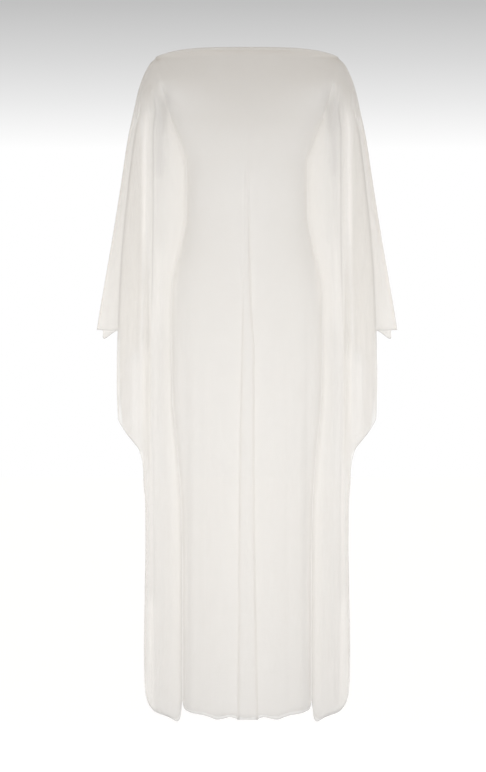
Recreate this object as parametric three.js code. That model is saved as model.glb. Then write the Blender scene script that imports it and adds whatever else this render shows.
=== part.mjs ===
// Tulle kaftan, kept in its worn shape with nobody in it: a straight body between two side
// seams, wide wing sleeves that hang free outside them, a slash neck and a centre-front pleat.
// Millimetres, +Z up, the front faces -Y. The origin is level with the shoulder points, midway
// between them, where the shoulders of the wearer carry the garment.
import * as THREE from 'three';

// ---- driving dimensions -------------------------------------------------------------------
const CLOTH = 1.0;            // wall of every cloth panel
const HALF_WALL = CLOTH / 2;
const SEAM_GAP = 0.3;         // clear space between two pieces that are sewn together
const EDGE_GAP = 0.45;        // half the space between front and back along a curved seam
const FLAT_GAP = HALF_WALL + SEAM_GAP / 2;   // the same where both lie flat together
const NECK_HALF = 196;        // from the centre to the end of the slash neck
const NECK_RISE = 18;         // the middle of the neck edge stands this far above its ends
const NECK_FLAT = 4;          // how level the neck edge stays before it falls to its ends
const UNDERARM = -131;        // below this the side seam is closed
const SHOULDER_FREE = -46;    // above this the front lies smooth from chest to arm
const SEAM_TOP = -118;        // the wing's outer corner starts here on the arm seam
const FOLDS_START = -84;      // the wing's folds leave the smooth shoulder here
const FOLDS_FULL = -165;      // and have their own full places here
const SETTLE = 50;            // each line takes this long to leave the arm seam
const SLEEVE_TIP = -588;      // the end of the arm seam
const SEAM_FOOT = -1388;      // the side seam ends here, in a small notch
const BODY_ROUND = 2.3;       // how full the body's half oval is
const ELLIPSE = 2;            // the same at the level of the neck
const CHEST_ROUND = 2.5;      // and over the chest
const CHEST_FULL = -100;      // from here down
const PLEAT_STEP = 3;         // from one layer of the pleat to the next
const FOLD_STEP = 2.6;        // half the space between the layers of a wing fold
const OUTER_BACK = 2;         // a wing's outer turn lies this far behind its pipe
const INNER_BACK = 3.2;       // and its inner turn this far
const ROLL = 0.17;            // the front panel rolls back by this share of its width
const ROLL_FULL = -260;       // from here down, easing in from where the folds start
const FOLD_TILT = 0.6;        // a fold's middle layer leans this much at each end
const SHALLOWER = 2;          // the back wing is this much less deep than the front one
const BACK_VALLEY = 1;        // depth of the soft valley beside its free edge
const TURN = 1.6;             // how far a fold's edge stands past its layers
const ARM_SLOPE = 3;          // the sleeve closes to the arm seam over this width
const ARM_HALF = 2.4;         // half the sleeve's thickness where that begins
const EDGE_STRIP = 5;         // width of cloth beyond the line that ends in a long free edge
const SEAM_BITE = 5;          // width of a felled seam allowance
const SEAM_INSET = { side: 1.25, arm: 1.7 };   // how far inside its seam it starts
const BACK_DROP = 9;          // the back hem hangs this much lower than the front in the middle
const MOST_BEND = 0.7;        // limits how far a sharp fold's corner is drawn out
const TURN_OVER = 5;          // a fold's layers have turned over once they overlap by this
const LEVEL_BELOW = 12;       // closer than this to a line's top, its own rows are followed

// Heights of the grid lines, as shares of a panel's length, closest at the shoulder.
const ROWS = [0, 0.0025, 0.0062, 0.014, 0.03, 0.05, 0.07, 0.09, 0.115, 0.16,
  0.22, 0.295, 0.38, 0.48, 0.59, 0.7, 0.81, 0.91, 1];
const NECK_ROWS = ROWS.slice(0, 3);   // the turned neck edge covers these, about 9 mm

// Body and shoulder. seam: half width at the side seam, and above the underarm at the line
// that carries on to the neck end. front, back: depth from the middle plane.
const BODY = [
  { z: 22, seam: 196, front: 54, back: 54 },
  { z: 0, seam: 196, front: 61, back: 62 },
  { z: -60, seam: 184, front: 83, back: 82 },
  { z: -115, seam: 169, front: 99, back: 94 },
  { z: -179, seam: 144.5, front: 110, back: 97 },
  { z: -233, seam: 130, front: 112, back: 93 },
  { z: -340, seam: 129.5, front: 103, back: 84 },
  { z: -394, seam: 138, front: 101, back: 87 },
  { z: -502, seam: 161, front: 104, back: 102 },
  { z: -620, seam: 162, front: 108, back: 110 },
  { z: -739, seam: 159.5, front: 108, back: 107 },
  { z: -847, seam: 149, front: 107, back: 102 },
  { z: -998, seam: 140, front: 107, back: 98 },
  { z: -1200, seam: 138, front: 109, back: 97 },
  { z: -1435, seam: 138, front: 112, back: 98 },
];

// The arm seam, seen from the front: its distance from the centre.
const ARM = [
  { z: 22, reach: 196 }, { z: 0, reach: 196 }, { z: -15, reach: 209 }, { z: -41, reach: 223 },
  { z: -75, reach: 234.5 }, { z: -118, reach: 244 }, { z: -179, reach: 257 },
  { z: -265, reach: 270 }, { z: -394, reach: 290.5 }, { z: -480, reach: 305.5 },
  { z: -588, reach: 323.5 }, { z: -800, reach: 350 }, { z: -1435, reach: 420 },
];

// The wing's fold lines, seen from the front. crease: inner edge of the front pipe. edge: the
// lower free edge. outer, inner: the two turns of the sleeve's Z fold. depth: how far the
// wing stands forward or back of the arm seam. pipe: how far the pipe stands out of it.
const WING = [
  { z: 0, crease: 203, edge: 210, outer: 222, inner: 226, depth: 50, pipe: 2 },
  { z: -60, crease: 203, edge: 210, outer: 225, inner: 231, depth: 50, pipe: 6 },
  { z: -100, crease: 203, edge: 210, outer: 228, inner: 236, depth: 50, pipe: 9 },
  { z: -132, crease: 203, edge: 210.5, outer: 235, inner: 236, depth: 50, pipe: 10.5 },
  { z: -157, crease: 203, edge: 211.5, outer: 240, inner: 228, depth: 49, pipe: 11.5 },
  { z: -300, crease: 203, edge: 213, outer: 258, inner: 225, depth: 47, pipe: 13 },
  { z: -437, crease: 204, edge: 214.5, outer: 271, inner: 225.5, depth: 46, pipe: 13 },
  { z: -588, crease: 207, edge: 215.5, outer: 278, inner: 229, depth: 45, pipe: 11 },
  { z: -696, crease: 207, edge: 215, outer: 280, inner: 236, depth: 42, pipe: 8 },
  { z: -825, crease: 206, edge: 214.3, outer: 275, inner: 240, depth: 39, pipe: 6.5 },
  { z: -965, crease: 203, edge: 213.5, outer: 262, inner: 240, depth: 36.5, pipe: 5 },
  { z: -1213, crease: 202, edge: 216.5, outer: 250, inner: 240, depth: 33, pipe: 3.5 },
  { z: -1435, crease: 201, edge: 224, outer: 250, inner: 240, depth: 30, pipe: 2 },
];

// The back wing has a narrower Z fold further in. outer, inner: its two turns. edge: the lower
// free edge. side: where the short sleeve layer ends beside the fold.
const BACK_WING = [
  { z: 0, edge: 204, outer: 213, inner: 221, side: 224 },
  { z: -100, edge: 204, outer: 213, inner: 223, side: 230 },
  { z: -157, edge: 204, outer: 214, inner: 226, side: 238 },
  { z: -300, edge: 206, outer: 216, inner: 225, side: 254 },
  { z: -437, edge: 210, outer: 221, inner: 216, side: 264 },
  { z: -588, edge: 213, outer: 225, inner: 210, side: 271 },
  { z: -825, edge: 213.5, outer: 225, inner: 210, side: 268 },
  { z: -965, edge: 213.5, outer: 223, inner: 210, side: 260 },
  { z: -1213, edge: 216, outer: 224, inner: 211, side: 253 },
  { z: -1435, edge: 223, outer: 231, inner: 216, side: 253 },
];

// The centre-front pleat. edge: its visible edge, turn: the hidden turn behind it, both from
// the centre. rise: how far its layers have parted. It is closed up while the turn lies outside
// the edge. The right side opens below the bust and the left side at the hip.
const PLEAT_RIGHT = [
  { z: 22, edge: 8, turn: 19, rise: 0 },
  { z: -200, edge: 5, turn: 12, rise: 0.1 },
  { z: -300, edge: 3.5, turn: 5, rise: 0.8 },
  { z: -400, edge: 6, turn: 2, rise: 1 },
  { z: -500, edge: 8.5, turn: 4, rise: 1 },
  { z: -570, edge: 11, turn: 6.5, rise: 1 },
  { z: -640, edge: 15.5, turn: 10.5, rise: 1 },
  { z: -825, edge: 15, turn: 10, rise: 1 },
  { z: -1386, edge: 23, turn: 18, rise: 1 },
  { z: -1435, edge: 24, turn: 19, rise: 1 },
];
const PLEAT_LEFT = [
  { z: 22, edge: 8, turn: 19, rise: 0 },
  { z: -400, edge: 8, turn: 16, rise: 0.1 },
  { z: -500, edge: 8.5, turn: 10, rise: 0.8 },
  { z: -580, edge: 10, turn: 6.5, rise: 1 },
  { z: -660, edge: 12, turn: 7.5, rise: 1 },
  { z: -825, edge: 15, turn: 10, rise: 1 },
  { z: -1386, edge: 20.5, turn: 15.5, rise: 1 },
  { z: -1435, edge: 21, turn: 16, rise: 1 },
];

// Upright lines of the body panels: angle round the half oval, and where the hem ends.
const BODY_LINES = [
  { turn: 15, hem: -1416 }, { turn: 28, hem: -1421 }, { turn: 42, hem: -1413 },
  { turn: 57, hem: -1410 }, { turn: 73, hem: -1405 }, { turn: 90, hem: -1390 },
];
const PLEAT_HEM = -1421;

// Upright lines of the front wing from the side seam to the arm seam. share: place between
// the two seams near the shoulder. top, hem: where the line starts and ends.
const FRONT_LINES = [
  { name: 'seam', share: 0, top: 0, hem: SEAM_FOOT },
  { name: 'near', share: 0.1, top: -2, hem: -1430 },
  { name: 'middle', share: 0.22, top: -7, hem: -1420 },
  { name: 'valley', share: 0.32, top: -13, hem: -1409 },
  { name: 'crease', share: 0.38, top: -17, hem: -1403 },
  { name: 'crest', share: 0.44, top: -22, hem: -1386 },
  { name: 'edge', share: 0.5, top: -27, hem: -1343 },
  { name: 'edgeTop', share: 0.54, top: -31, hem: -965 },
  { name: 'panelIn', share: 0.61, top: -38, hem: -846 },
  { name: 'panelOut', share: 0.69, top: -47, hem: -810 },
  { name: 'outerFront', share: 0.735, top: -55, hem: -784 },
  { name: 'outerTurn', share: 0.76, top: -60, hem: -777 },
  { name: 'outerBack', share: 0.785, top: -65, hem: -768 },
  { name: 'middleLayer', share: 0.82, top: -72, hem: -653 },
  { name: 'innerBack', share: 0.85, top: -79, hem: -636 },
  { name: 'innerTurn', share: 0.87, top: -84, hem: -634 },
  { name: 'innerFront', share: 0.89, top: -89, hem: -632 },
  { name: 'sleeveIn', share: 0.925, top: -98, hem: -590 },
  { name: 'sleeveOut', share: 0.955, top: -106, hem: -589 },
  { name: 'arm', share: 0.98, top: -112, hem: SLEEVE_TIP },
  { name: 'armSeam', share: 1, top: SEAM_TOP, hem: SLEEVE_TIP },
];

const BACK_LINES = [
  { name: 'seam', share: 0, top: 0, hem: SEAM_FOOT },
  { name: 'near', share: 0.12, top: -3, hem: -1426 },
  { name: 'middle', share: 0.25, top: -9, hem: -1418 },
  { name: 'valley', share: 0.36, top: -17, hem: -1402 },
  { name: 'edge', share: 0.43, top: -24, hem: -1346 },
  { name: 'edgeTop', share: 0.47, top: -28, hem: -968 },
  { name: 'outerTurn', share: 0.51, top: -33, hem: -960 },
  { name: 'outerBack', share: 0.55, top: -38, hem: -938 },
  { name: 'innerBack', share: 0.6, top: -45, hem: -908 },
  { name: 'innerTurn', share: 0.65, top: -53, hem: -896 },
  { name: 'innerFront', share: 0.7, top: -61, hem: -884 },
  { name: 'sleeveIn', share: 0.78, top: -72, hem: -845 },
  { name: 'side', share: 0.86, top: -84, hem: -790 },
  { name: 'sideTop', share: 0.9, top: -93, hem: -592 },
  { name: 'sleeveOut', share: 0.94, top: -101, hem: -606 },
  { name: 'arm', share: 0.975, top: -110, hem: -592 },
  { name: 'armSeam', share: 1, top: SEAM_TOP, hem: SLEEVE_TIP },
];

// ---- curves through the tables ------------------------------------------------------------
// A smooth line through a table's column, level with height, that never overshoots a row.
function column(table, name) {
  const rows = [...table].sort((a, b) => a.z - b.z);
  const z = rows.map((row) => row.z);
  const v = rows.map((row) => row[name]);
  const slope = z.slice(1).map((_, i) => (v[i + 1] - v[i]) / (z[i + 1] - z[i]));
  const tangent = v.map((_, i) => {
    const before = slope[Math.max(i - 1, 0)];
    const after = slope[Math.min(i, slope.length - 1)];
    return before * after <= 0 ? 0 : (2 * before * after) / (before + after);
  });
  return (height) => {
    const at = Math.min(Math.max(height, z[0]), z[z.length - 1]);
    let i = 0;
    while (i < z.length - 2 && at > z[i + 1]) i += 1;
    const span = z[i + 1] - z[i];
    const t = (at - z[i]) / span;
    const rest = 1 - t;
    return v[i] * (1 + 2 * t) * rest * rest + v[i + 1] * t * t * (3 - 2 * t)
      + span * t * rest * (tangent[i] * rest - tangent[i + 1] * t);
  };
}

const columns = (table) => Object.fromEntries(
  Object.keys(table[0]).filter((key) => key !== 'z').map((key) => [key, column(table, key)]));

const body = columns(BODY);
const arm = columns(ARM);
const wing = columns(WING);
const backWing = columns(BACK_WING);
const pleatRight = columns(PLEAT_RIGHT);
const pleatLeft = columns(PLEAT_LEFT);

const mix = (a, b, t) => a + (b - a) * t;
function ease(from, to, value) {
  const t = Math.min(Math.max((value - from) / (to - from), 0), 1);
  return t * t * (3 - 2 * t);
}

// A half oval of the given half width and depth; fullness 2 is an ellipse.
function oval(x, half, depth, fullness) {
  const share = Math.min(Math.abs(x) / half, 1);
  return depth * (1 - share ** fullness) ** (1 / fullness);
}

// ---- the worn shape -----------------------------------------------------------------------
// 0 above the armpit, where one smooth sheet runs from chest to arm, and 1 below it, where
// the side seam holds front and back together.
const held = (z) => ease(SHOULDER_FREE, UNDERARM, z);

// Depth of the smooth sheet over chest and shoulder: an ellipse at the neck, fuller below it.
function shoulderDepth(x, z, side) {
  const fullness = mix(ELLIPSE, CHEST_ROUND, ease(0, CHEST_FULL, z));
  return oval(x, arm.reach(z), body[side](z), fullness);
}

function bodyDepth(x, z, side) {
  const tube = oval(x, body.seam(z), body[side](z), BODY_ROUND);
  return mix(shoulderDepth(x, z, side), tube, held(z));
}

const neckHeight = (x) => NECK_RISE * (1 - (Math.abs(x) / NECK_HALF) ** NECK_FLAT);

const foldLayer = (depth, layer) => depth - layer * FOLD_STEP;

// How far the first line past a turn stands from it, on its way to the next turn: it changes
// hands as the layer between the two turns over.
function turned(from, to) {
  return TURN * Math.min(Math.max((to - from) / TURN_OVER, -1), 1);
}

// The flat sleeve's last two lines: it closes to the arm seam over a short slope, which leaves
// room for the seam allowance inside it.
const armEdge = (reach) => ({
  arm: [reach - ARM_SLOPE, ARM_HALF],
  armSeam: [reach, FLAT_GAP],
});

const wingSeam = (z) => body.seam(z) + SEAM_GAP / 2 + held(z) * (CLOTH + SEAM_GAP);

// Where each line of the front wing lies at a height: distance from the centre and depth. A
// share places a line between its two neighbours, or at a part of the wing's own depth.
function frontWingPlaces(z) {
  const seam = wingSeam(z);
  const crease = wing.crease(z);
  const edge = wing.edge(z);
  const outer = wing.outer(z);
  const inner = wing.inner(z);
  const reach = arm.reach(z);
  const depth = wing.depth(z);
  const front = depth + wing.pipe(z);
  const roll = ROLL * ease(FOLDS_START, ROLL_FULL, z) * (outer - edge);
  const atOuter = front - OUTER_BACK - roll;
  const atInner = front - INNER_BACK;
  return {
    seam: [seam, EDGE_GAP + HALF_WALL],
    near: [mix(seam, crease, 0.14), depth * 0.56],
    middle: [mix(seam, crease, 0.5), depth * 0.93],
    valley: [crease - 3, depth],
    crease: [crease + 1, mix(depth, front, 0.7)],
    crest: [mix(crease, edge, 0.62), front],
    edge: [edge, front],
    edgeTop: [edge + EDGE_STRIP, front],
    panelIn: [mix(edge, outer, 0.3), mix(front, atOuter, 0.06)],
    panelOut: [mix(edge, outer, 0.74), mix(front, atOuter, 0.42)],
    outerFront: [outer - TURN, atOuter],
    outerTurn: [outer, foldLayer(atOuter, 1)],
    outerBack: [outer + turned(outer, inner), foldLayer(atOuter, 2) + FOLD_TILT],
    middleLayer: [mix(outer, inner, 0.46), foldLayer(mix(atOuter, atInner, 0.46), 2)],
    innerBack: [inner - turned(outer, inner), foldLayer(atInner, 2) - FOLD_TILT],
    innerTurn: [inner, foldLayer(atInner, 3)],
    innerFront: [inner + TURN, foldLayer(atInner, 4)],
    sleeveIn: [mix(inner, reach, 0.38), depth * 0.34],
    sleeveOut: [mix(inner, reach, 0.68), depth * 0.12],
    ...armEdge(reach),
  };
}

function backWingPlaces(z) {
  const seam = wingSeam(z);
  const edge = backWing.edge(z);
  const outer = backWing.outer(z);
  const inner = backWing.inner(z);
  const side = backWing.side(z);
  const reach = arm.reach(z);
  const depth = wing.depth(z) - SHALLOWER;
  const back = depth + wing.pipe(z) / 2;
  return {
    seam: [seam, EDGE_GAP + HALF_WALL],
    near: [mix(seam, edge, 0.14), depth * 0.56],
    middle: [mix(seam, edge, 0.5), depth * 0.93],
    valley: [mix(seam, edge, 0.83), back - BACK_VALLEY],
    edge: [edge, back],
    edgeTop: [mix(edge, outer, 0.55), back - FOLD_TILT],
    outerTurn: [outer, foldLayer(back, 1)],
    outerBack: [outer + turned(outer, inner), foldLayer(back, 2) + FOLD_TILT],
    innerBack: [inner - turned(outer, inner), foldLayer(back, 2) - FOLD_TILT],
    innerTurn: [inner, foldLayer(back, 3)],
    innerFront: [inner + TURN, foldLayer(back, 4)],
    sleeveIn: [mix(inner, side, 0.4), depth * 0.72],
    side: [side, depth * 0.5],
    sideTop: [side + EDGE_STRIP, depth * 0.42],
    sleeveOut: [mix(side, reach, 0.6), depth * 0.2],
    ...armEdge(reach),
  };
}

// One point of a wing: smooth over the shoulder, folded below it. Near the shoulder the lines
// that have already left the arm seam share the width between the two seams.
function wingPoint(line, z, side) {
  const wingSide = WING_SIDES[side];
  const left = Math.max(wingSide.shareAt(z), 1e-6);
  const share = Math.min(line.share / left, 1);
  const smoothX = mix(body.seam(z) + SEAM_GAP / 2, arm.reach(z), share);
  const [foldX, foldDepth] = wingSide.places(z)[line.name];
  const settled = line.top - SETTLE;
  const x = mix(smoothX, foldX,
    ease(Math.min(FOLDS_START, line.top), Math.min(FOLDS_FULL, settled), z));
  const drop = ease(Math.min(SHOULDER_FREE, line.top), Math.min(UNDERARM, settled), z);
  const least = line.name === 'armSeam' ? FLAT_GAP : EDGE_GAP;
  return [x, mix(Math.max(shoulderDepth(x, z, side), least), foldDepth, drop)];
}

const shareByTop = (lines) => column(lines.map(({ top, share }) => ({ z: top, share })), 'share');
const WING_SIDES = {
  front: { lines: FRONT_LINES, sign: -1, places: frontWingPlaces, shareAt: shareByTop(FRONT_LINES) },
  back: { lines: BACK_LINES, sign: 1, places: backWingPlaces, shareAt: shareByTop(BACK_LINES) },
};

// ---- closed shells ------------------------------------------------------------------------
const direction = (from, to) => new THREE.Vector3().subVectors(to, from).normalize();

// The mean of the directions before and after a point, so that a short facet counts as much
// as a long one, and how far the path bends there.
function tangentAt(points, i) {
  const before = points[i - 1] ? direction(points[i - 1], points[i]) : null;
  const after = points[i + 1] ? direction(points[i], points[i + 1]) : null;
  if (!before || !after) return { along: before ?? after, bend: 1 };
  const along = before.add(after);
  const bend = Math.max(along.length() / 2, MOST_BEND);
  return { along: along.normalize(), bend };
}

// A closed wall round a sheet. Each line runs down the sheet from its top to its hem, and the
// lines follow each other across it, so that down x across points out of the garment. The
// direction across is taken at one height, except close under a line's own top. Each cell is
// split along its shorter diagonal.
function shell(lines, rows = ROWS, shift = 0) {
  const levels = lines.map((line) => rows.map((share) => mix(line.top, line.hem, share)));
  const grid = lines.map((line, c) => levels[c].map((z) => line.at(z)));
  const count = lines.length;
  const steps = rows.length;
  const beside = (c, r, z) => (z < lines[c].top - LEVEL_BELOW ? lines[c].at(z) : grid[c][r]);
  const normals = grid.map((line, c) => line.map((here, r) => {
    const z = levels[c][r];
    const level = [c - 1, c, c + 1].map((i) => {
      if (i < 0 || i >= count) return null;
      return i === c ? here : beside(i, r, z);
    });
    const across = tangentAt(level, 1);
    const down = tangentAt([line[r - 1] ?? null, here, line[r + 1] ?? null], 1);
    return new THREE.Vector3().crossVectors(down.along, across.along).normalize()
      .divideScalar(across.bend);
  }));
  const faces = [shift + HALF_WALL, shift - HALF_WALL].map((offset) => grid.map((line, c) => (
    line.map((here, r) => here.clone().addScaledVector(normals[c][r], offset)))));
  const positions = faces.flat(2).flatMap((point) => [point.x, point.y, point.z]);
  const at = (face, c, r) => face * count * steps + c * steps + r;
  const index = [];
  const quad = (a, b, c, d) => index.push(a, b, c, a, c, d);
  for (let c = 0; c < count - 1; c += 1) {
    for (let r = 0; r < steps - 1; r += 1) {
      const corners = [[c, r], [c, r + 1], [c + 1, r + 1], [c + 1, r]];
      const [topLeft, lowLeft, lowRight, topRight] = corners.map(([i, j]) => grid[i][j]);
      const falls = topLeft.distanceTo(lowRight) <= lowLeft.distanceTo(topRight);
      if (!falls) corners.push(corners.shift());
      const [outside, inside] = [0, 1].map((face) => corners.map(([i, j]) => at(face, i, j)));
      quad(...outside);
      quad(inside[0], inside[3], inside[2], inside[1]);
    }
    quad(at(0, c, 0), at(0, c + 1, 0), at(1, c + 1, 0), at(1, c, 0));
    const foot = steps - 1;
    quad(at(0, c, foot), at(1, c, foot), at(1, c + 1, foot), at(0, c + 1, foot));
  }
  for (let r = 0; r < steps - 1; r += 1) {
    const last = count - 1;
    quad(at(0, 0, r), at(1, 0, r), at(1, 0, r + 1), at(0, 0, r + 1));
    quad(at(0, last, r), at(0, last, r + 1), at(1, last, r + 1), at(1, last, r));
  }
  const geometry = new THREE.BufferGeometry();
  geometry.setAttribute('position', new THREE.Float32BufferAttribute(positions, 3));
  geometry.setIndex(index);
  geometry.computeVertexNormals();
  return geometry;
}

const point = (x, y, z) => new THREE.Vector3(x, y, z);

// The same shell on the other side of the middle plane, with its triangles wound the other way.
function mirrored(shape) {
  const copy = shape.clone().scale(-1, 1, 1);
  copy.setIndex(Array.from(copy.index.array).reverse());
  copy.computeVertexNormals();
  return copy;
}

// ---- panels -------------------------------------------------------------------------------
// Upright lines of one half of a body panel, from beside the pleat to the side seam.
function bodyLines(side, hand) {
  const sign = side === 'front' ? -1 : 1;
  const drop = side === 'front' ? 0 : BACK_DROP;
  return BODY_LINES.map(({ turn, hem }) => {
    const lean = Math.sin(THREE.MathUtils.degToRad(turn));
    const at = (z) => {
      const x = (body.seam(z) - SEAM_GAP / 2) * lean;
      return point(hand * x, sign * Math.max(bodyDepth(x, z, side), EDGE_GAP), z);
    };
    return { top: neckHeight(NECK_HALF * lean), hem: hem - drop * (1 - lean), at };
  });
}

// One side of the pleat, from the panel in to the top layer. place: where the line lies, and
// layer: how many layers it stands forward of the panel.
const PLEAT_LINES = [
  { place: (edge, turn) => turn + TURN, layer: 0 },
  { place: (edge, turn) => turn, layer: 0.45 },
  { place: (edge, turn) => turn + turned(turn, edge), layer: 0.8 },
  { place: (edge, turn) => edge - turned(turn, edge), layer: 1.2 },
  { place: (edge) => edge, layer: 1.55 },
  { place: (edge) => edge - TURN, layer: 2 },
];

function pleatLines(pleat, hand) {
  return PLEAT_LINES.map(({ place, layer }) => ({
    top: NECK_RISE,
    hem: PLEAT_HEM,
    at(z) {
      const x = hand * place(pleat.edge(z), pleat.turn(z));
      const forward = bodyDepth(x, z, 'front') + layer * PLEAT_STEP * pleat.rise(z);
      return point(x, -forward, z);
    },
  }));
}

function frontBodyLines() {
  const right = [...pleatLines(pleatRight, 1).reverse(), ...bodyLines('front', 1)];
  const left = [...pleatLines(pleatLeft, -1).reverse(), ...bodyLines('front', -1)];
  return [...left.reverse(), ...right];
}

function backBodyLines() {
  const at = (z) => point(0, bodyDepth(0, z, 'back'), z);
  const middle = { top: NECK_RISE, hem: PLEAT_HEM - BACK_DROP, at };
  return [...bodyLines('back', 1).reverse(), middle, ...bodyLines('back', -1)];
}

function wingLines(side) {
  const { lines, sign } = WING_SIDES[side];
  const upright = lines.map((line) => ({
    top: line.top,
    hem: line.hem,
    at(z) {
      const [x, depth] = wingPoint(line, z, side);
      return point(x, sign * depth, z);
    },
  }));
  return side === 'front' ? upright : upright.reverse();
}

// ---- narrow pieces ------------------------------------------------------------------------
// A seam allowance: a flat strip in the middle plane, just inside a seam line.
function seamStrip(line, top, hem, clear) {
  return [clear + SEAM_BITE, clear].map((inset) => (
    { top, hem, at: (z) => point(line(z) - inset, 0, z) }));
}

// The neck edge turned to the inside: the panel's own points, moved in.
const neckHem = (lines) => shell(lines.slice(1, -1), NECK_ROWS, -(CLOTH + SEAM_GAP));

// ---- the garment --------------------------------------------------------------------------
const COLOURS = { cloth: '#efe9df', seam: '#e6dccb' };
const garment = new THREE.Group();
garment.name = 'tulle_kaftan';

function add(name, geometry, colour) {
  const material = new THREE.MeshStandardMaterial({ color: colour, roughness: 0.8, metalness: 0 });
  material.side = THREE.FrontSide;
  const mesh = new THREE.Mesh(geometry, material);
  mesh.name = name;
  garment.add(mesh);
}

function addPair(name, lines, colour) {
  const right = shell(lines);
  add(`${name}_right`, right, colour);
  add(`${name}_left`, mirrored(right), colour);
}

add('front_body', shell(frontBodyLines()), COLOURS.cloth);
add('back_body', shell(backBodyLines()), COLOURS.cloth);
addPair('front_wing', wingLines('front'), COLOURS.cloth);
addPair('back_wing', wingLines('back'), COLOURS.cloth);
add('neck_hem_front', neckHem(frontBodyLines()), COLOURS.seam);
add('neck_hem_back', neckHem(backBodyLines()), COLOURS.seam);
addPair('side_seam', seamStrip(body.seam, UNDERARM, SEAM_FOOT, SEAM_INSET.side), COLOURS.seam);
addPair('arm_seam', seamStrip(arm.reach, SEAM_TOP, SLEEVE_TIP, SEAM_INSET.arm), COLOURS.seam);

export default garment;
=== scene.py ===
"""Tulle kaftan: the looks of a full-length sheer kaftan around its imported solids.

The garment hangs in its worn shape with nobody in it. Each panel is a thin shell on the form of
its solid: a half oval body with a centre-front pleat, and wings that fall from the shoulder in
folds. Lengths in the tables are millimetres in the part's own frame: X to the right, the front
faces -Y, Z up, with the origin level with the shoulder points.
"""

import math

import bmesh
import bpy
import numpy as np
from bpy.props import FloatProperty, FloatVectorProperty, IntProperty, PointerProperty
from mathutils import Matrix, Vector


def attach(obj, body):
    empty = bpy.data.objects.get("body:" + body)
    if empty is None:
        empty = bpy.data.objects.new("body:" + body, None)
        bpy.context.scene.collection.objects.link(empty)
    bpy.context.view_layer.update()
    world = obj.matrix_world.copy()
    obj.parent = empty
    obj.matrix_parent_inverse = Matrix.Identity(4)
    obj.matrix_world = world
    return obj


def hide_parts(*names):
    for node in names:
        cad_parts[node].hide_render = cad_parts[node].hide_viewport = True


bl_info = {
    "name": "Tulle kaftan",
    "version": (1, 0, 0),
    "blender": (4, 5, 0),
    "location": "View3D > Sidebar > Kaftan",
    "description": "Builds a sheer kaftan, its hems, seams and stitches around its solids",
    "category": "Add Mesh",
}

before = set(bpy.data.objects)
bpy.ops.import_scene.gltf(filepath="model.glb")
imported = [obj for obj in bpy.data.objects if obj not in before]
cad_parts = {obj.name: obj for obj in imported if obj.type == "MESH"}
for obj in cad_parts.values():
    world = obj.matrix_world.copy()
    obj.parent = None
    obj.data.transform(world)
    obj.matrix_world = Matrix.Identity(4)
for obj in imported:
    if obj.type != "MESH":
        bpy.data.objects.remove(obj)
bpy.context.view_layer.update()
MM = 0.001
BODY = "root"

# ---- sizes of the garment, in millimetres ---------------------------------------------------
NECK_HALF = 196          # from the centre to the end of the slash neck
NECK_RISE = 18           # the middle of the neck edge stands this far above its ends
UNDERARM = -131          # below this the side seam is closed
SHOULDER_FREE = -46      # above this the front lies smooth from chest to arm
SEAM_TOP = -118          # the wing's outer corner starts here on the arm seam
FOLDS_START = -84        # the wing's folds leave the smooth shoulder here
FOLDS_FULL = -165        # and have their own full places here
SETTLE = 50              # each line takes this long to leave the arm seam
SLEEVE_TIP = -588        # the end of the arm seam
SEAM_FOOT = -1388        # the side seam ends here, in a small notch
BODY_ROUND = 2.3         # how full the body's half oval is
PLEAT_STEP = 3.0         # from one layer of the pleat to the next
PLEAT_HEM = -1421        # the pleat's foot
BACK_DROP = 9            # the back hem hangs this much lower than the front one in the middle
FOLD_STEP = 2.6          # half the space between the layers of a wing fold
FOLD_TILT = 0.6          # a fold's middle layer leans this much at each end
TURN = 1.6               # how far a fold's edge stands past its layers
TURN_OVER = 5            # a fold's layers have turned over once they overlap by this
ROLL = 0.17              # the front panel rolls back by this share of its width at the outer fold
OUTER_BACK = 2           # the outer turn lies at least this far behind the pipe
INNER_BACK = 3.2         # and the inner turn this far
FOLD_MIDDLE = 0.46       # the middle layer's own line, as a share of the way from turn to turn
SHOULDER_ROUND = (2, 2.5)      # how full the shoulder's half oval is, at the top and lower down
BELOW_SHOULDER = (-60, -200)   # the wings' unevenness and lighter tone set in between these
WING_FOOT = (-850, -1300)      # and the lighter tone ends between these
BODY_LOW = (-150, -700)  # the body's unevenness sets in between these
OFF_SEAM = 12            # soft folds reach their depth this far from a seam
RIPPLE = {"body": (23, 190, 0.5), "wing": (17, 190, 0.3)}    # wave, length and depth
EDGE_STRIP = 5           # width of cloth beyond the line that ends in a long free edge
SEAM_HALF_GAP = 0.15     # the panels' middle surfaces end this far from a seam line
EDGE_GAP = 0.45          # half the space between front and back along a curved seam
WING_CLEAR = 1.3         # the wing's edge stands this far out of the body at the side seam
NECK_HEM_DEEP = 9.5      # how deep the turned neck edge is
NECK_HEM_IN = 1.0        # how far inside the panel it lies
FELL_WIDE = 5            # width of a felled seam
FELL_OVER = {"side_seam": 1.5, "arm_seam": -1.25}    # it goes past the wing's edge or stops short
FELL_WAVE = 0.15         # how unevenly it lies
SEAM_ROLL = 0.5          # radius of the roll that joins the front and back wings along the arm
STITCH_LONG = 2.4        # length of a stitch
STITCH_THICK = 0.16      # radius of a stitch
STITCH_OUT = 0.3         # how far a row of stitches lies out of the cloth
STITCH_RISE = 0.6        # a stitch's middle stands out by this share of its radius
STITCH_ENDS = (0.06, 0.94)     # its ends are blunt before and past these shares

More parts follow.
